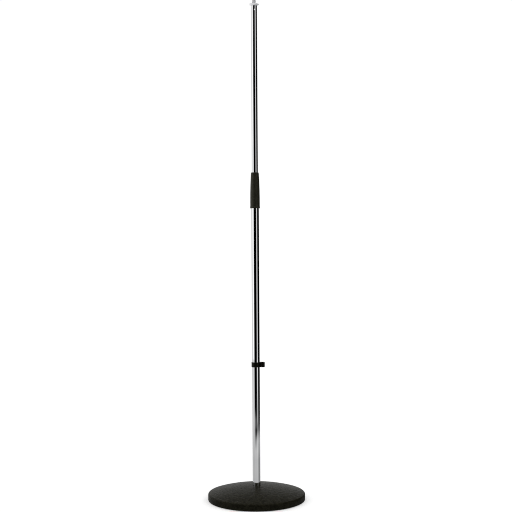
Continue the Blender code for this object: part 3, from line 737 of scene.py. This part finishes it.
def make_insert():
    """The flanged insert: a knurled rim, a cone under it, and a spigot in the rod."""
    low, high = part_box("thread_insert")
    rim = high.x
    cone_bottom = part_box("upper_rod")[1].z + SOCKET_GAP
    rim_bottom = cone_bottom + FLANGE_CONE
    hole_bottom = high.z - STUD_SUNK
    corners = [(rim, high.z, FLANGE_ROUND), (rim, rim_bottom, BREAK)]
    corners += [(FLANGE_FOOT, cone_bottom, FINE_BREAK), (SPIGOT_RADIUS, cone_bottom, 0)]
    corners += [(SPIGOT_RADIUS, low.z, SPIGOT_ROUND), (INSERT_BORE, low.z, 0)]
    corners += [(INSERT_BORE, hole_bottom, 0), (INSERT_HOLE, hole_bottom, 0)]
    corners += [(INSERT_HOLE, high.z, HOLE_ROUND)]

    def knurled(radius, angle, height):
        if radius < rim - KNURL_BAND:
            return radius
        return radius - KNURL_DEPTH * (0.5 + 0.5 * cos(KNURL_COUNT * angle))

    shape = lathe(rounded(corners), KNURL_COUNT * WAVE_SEGMENTS, knurled)
    add_piece("knurled_flange", shape, satin_nickel, "zinc_steel", "rod", "thread_insert")


def make_stud():
    """The stud, with a real right-hand helix and a lead-in at its tip."""
    low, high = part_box("thread_stud")
    major = high.x
    fine_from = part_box("thread_insert")[1].z - THREAD_PITCH
    steps = ceil((high.z - fine_from) / (THREAD_PITCH / THREAD_RINGS))
    heights = [high.z - (high.z - fine_from) * index / steps for index in range(steps + 1)]
    profile = [(0, high.z)] + [(major, height) for height in heights]
    profile += [(major, low.z + STUD_CHAMFER), (major - STUD_CHAMFER, low.z), (0, low.z)]

    def threaded(radius, angle, height):
        if height < fine_from:
            return radius * (1 - THREAD_DEPTH / major)
        lead = major - THREAD_LEAD + (high.z - height)
        if radius < major - NEAR:
            return radius * lead / major
        turn = (height / THREAD_PITCH - angle / (2 * pi)) % 1
        from_crest = min(turn, 1 - turn)
        sunk = min(1.0, max(0.0, (from_crest - THREAD_CREST) / THREAD_FLANK))
        return min(major - THREAD_DEPTH * sunk, lead)

    shape = lathe(profile, STUD_SEGMENTS, threaded)
    add_piece("threaded_stud", shape, painted_shade_nickel, "zinc_steel", "rod", "thread_stud", sharp=radians(60))


def dress(finish, *nodes):
    """Gives CAD nodes that stay a worked material."""
    for node in nodes:
        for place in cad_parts[node].material_slots:
            place.material = finish


# Studio


def glow():
    """An emitting material that takes its radiance from the points of the mesh."""
    finish = Finish("studio_glow")
    radiance = finish.nodes.new("ShaderNodeAttribute")
    radiance.attribute_name = "radiance"
    light = finish.nodes.new("ShaderNodeEmission")
    finish.links.new(radiance.outputs["Color"], light.inputs["Color"])
    finish.nodes.remove(finish.shader)
    finish.links.new(light.outputs[0], finish.nodes["Material Output"].inputs["Surface"])
    return finish.material


def seen_in_gloss_only(thing):
    thing.visible_camera = False
    thing.visible_diffuse = False
    thing.visible_shadow = False
    thing.visible_transmission = False
    thing.visible_volume_scatter = False


def add_stage(name, shape, material):
    mesh = bpy.data.meshes.new(name)
    shape.to_mesh(mesh)
    shape.free()
    mesh.materials.append(material)
    thing = bpy.data.objects.new(name, mesh)
    studio.objects.link(thing)
    return thing


def sector_at(angle):
    """Values of the sector that holds the angle."""
    first = SECTORS[0][0]
    angle = (angle - first) % 360 + first
    return [values for start, *values in SECTORS if start <= angle][-1]


def soft_sector(angle, softness, samples=9):
    """The sectors' values, averaged over the softness round the angle."""
    around = [sector_at(angle + softness * (index / (samples - 1) - 0.5)) for index in range(samples)]
    return [sum(column) / samples for column in zip(*around)]


def floor_rims(angle):
    floor = soft_sector(angle, FLOOR_SOFTNESS)[1:]
    return [(radius, MAT_HEIGHT, radiance) for radius, radiance in zip(FLOOR_RINGS, floor)]


def wall_rims(angle):
    wall = soft_sector(angle, WALL_SOFTNESS)[0]
    clear, hazy = HAZE_HEIGHTS
    rims = [(WALL_RADIUS, height, wall) for height in (0.0, clear)]
    return rims + [(WALL_RADIUS, height, wall + WALL_HAZE) for height in (hazy, WALL_TOP)]


def high_rims(_):
    return [(WALL_RADIUS, WALL_TOP, HIGH_RADIANCE), (WALL_RADIUS, HIGH_TOP, HIGH_RADIANCE)]


def add_reflector(name, start, end, rims, material, step=1):
    """Glowing strips round the stand, seen in reflections only.

    rims(angle) gives their (radius, height, radiance) at an angle in degrees.
    """
    shape = bmesh.new()
    shades = []
    columns = []
    for degrees in range(start, end + step, step):
        angle = radians(degrees) - pi / 2
        column = []
        for radius, height, radiance in rims(degrees):
            column.append(shape.verts.new((radius * cos(angle), radius * sin(angle), height)))
            shades.append(radiance)
        columns.append(column)
    for before, after in zip(columns, columns[1:]):
        for index in range(len(before) - 1):
            shape.faces.new([before[index], before[index + 1], after[index + 1], after[index]])
    thing = add_stage(name, shape, material)
    layer = thing.data.color_attributes.new("radiance", "FLOAT_COLOR", "POINT")
    for point, shade in zip(layer.data, shades):
        point.color = (shade, shade, shade, 1)
    seen_in_gloss_only(thing)


def make_floor():
    """The floor. It glows a little, and only the camera sees it."""
    finish = Finish("studio_floor", specular=0.0)
    finish.shader.inputs["Emission Color"].default_value = (1, 1, 1, 1)
    finish.shader.inputs["Emission Strength"].default_value = FLOOR_GLOW
    paper = finish.noise(grain=60 * MM, detail=4.0)
    colour = finish.ramp(paper, (0.3, 0.965), (0.7, 0.985))
    material = finish.done(colour, finish.ramp(paper, (0.3, 0.8), (0.7, 0.9)))
    shape = bmesh.new()
    bmesh.ops.create_grid(shape, x_segments=1, y_segments=1, size=FLOOR_SIZE)
    floor = add_stage("floor", shape, material)
    floor.visible_glossy = False
    floor.visible_diffuse = False
    floor.visible_shadow = False


def make_world():
    """A white world, dimmer for diffuse rays."""
    world = bpy.data.worlds.new("studio")
    world.use_nodes = True
    background = world.node_tree.nodes["Background"]
    background.inputs["Color"].default_value = (1, 1, 1, 1)
    nodes, links = world.node_tree.nodes, world.node_tree.links
    path = nodes.new("ShaderNodeLightPath")
    strength = nodes.new("ShaderNodeMath")
    strength.operation = "MULTIPLY_ADD"
    strength.inputs[1].default_value = DIFFUSE_STRENGTH - WORLD_STRENGTH
    strength.inputs[2].default_value = WORLD_STRENGTH
    links.new(path.outputs["Is Diffuse Ray"], strength.inputs[0])
    links.new(strength.outputs[0], background.inputs["Strength"])
    bpy.context.scene.world = world


def add_lamp(name, power, width, place, receivers):
    """A soft distant light from the place, on the receivers only."""
    light = bpy.data.lights.new(name, "SUN")
    light.energy = power
    light.angle = radians(width)
    lamp = bpy.data.objects.new(name, light)
    lamp.location = place
    lamp.rotation_euler = (-Vector(place)).to_track_quat("-Z", "Y").to_euler()
    lamp.visible_glossy = False
    lit = bpy.data.collections.new(name + "_receivers")
    for receiver in receivers:
        lit.objects.link(bpy.data.objects[receiver])
    lamp.light_linking.receiver_collection = lit
    studio.objects.link(lamp)


def make_studio():
    make_world()
    make_floor()
    material = glow()
    add_reflector("floor_reflector", -180, 180, floor_rims, material)
    add_reflector("wall_reflector", -180, 180, wall_rims, material)
    add_reflector("high_back_reflector", *HIGH_SPAN, high_rims, material)
    for lamp in LAMPS:
        add_lamp(*lamp)


def make_camera():
    lens = bpy.data.cameras.new("camera")
    lens.sensor_width = SENSOR
    lens.lens = LENS
    camera = bpy.data.objects.new("camera", lens)
    camera.location = CAMERA_AT
    camera.rotation_euler = (pi / 2, CAMERA_ROLL, 0)
    studio.objects.link(camera)
    bpy.context.scene.camera = camera


looks = bpy.data.collections.new("looks")
studio = bpy.data.collections.new("studio")
for collection in (looks, studio):
    bpy.context.scene.collection.children.link(collection)

black_paint = textured_black()
chrome_plate = chrome()
plated_zinc = plated("plated_zinc", shade=0.66, rough=0.34)
satin_nickel = plated("satin_nickel", shade=0.8, rough=0.36, metallic=0.8)
# The stud's nickel is the flange's nickel painted darker: painted shade for its thread grooves.
painted_shade_nickel = plated("painted_shade_nickel", shade=0.58, rough=0.4, metallic=0.8)
grip_nylon = nylon("grip_nylon", shade=0.03, specular=0.29, rough=0.4, grain=0.6 * MM, depth=0.05 * MM)
clip_nylon = nylon("clip_nylon", shade=0.006, specular=0.13, rough=0.3, grain=0.4 * MM, depth=0.02 * MM)
ring_rubber = rubber()
slide_acetal = acetal()
turned_brass = brass()
wiper_felt = felt()

make_camera()
make_base()
make_ring()
make_bolt()
make_lower_tube()
make_clip()
make_grip()
make_upper_rod()
make_insert()
make_stud()
dress(plated_zinc, "spring_washer", "foot_plug", "nipple_pin_front", "nipple_pin_back", "clamp_cone")
dress(slide_acetal, "clamp_collet", "thrust_washer", "guide_ring")
dress(turned_brass, "clutch_nipple")
dress(clip_nylon, "rod_end_plug")
make_studio()
bpy.context.scene.view_settings.view_transform = "Standard"
bpy.context.scene.cycles.filter_width = FILTER_WIDTH
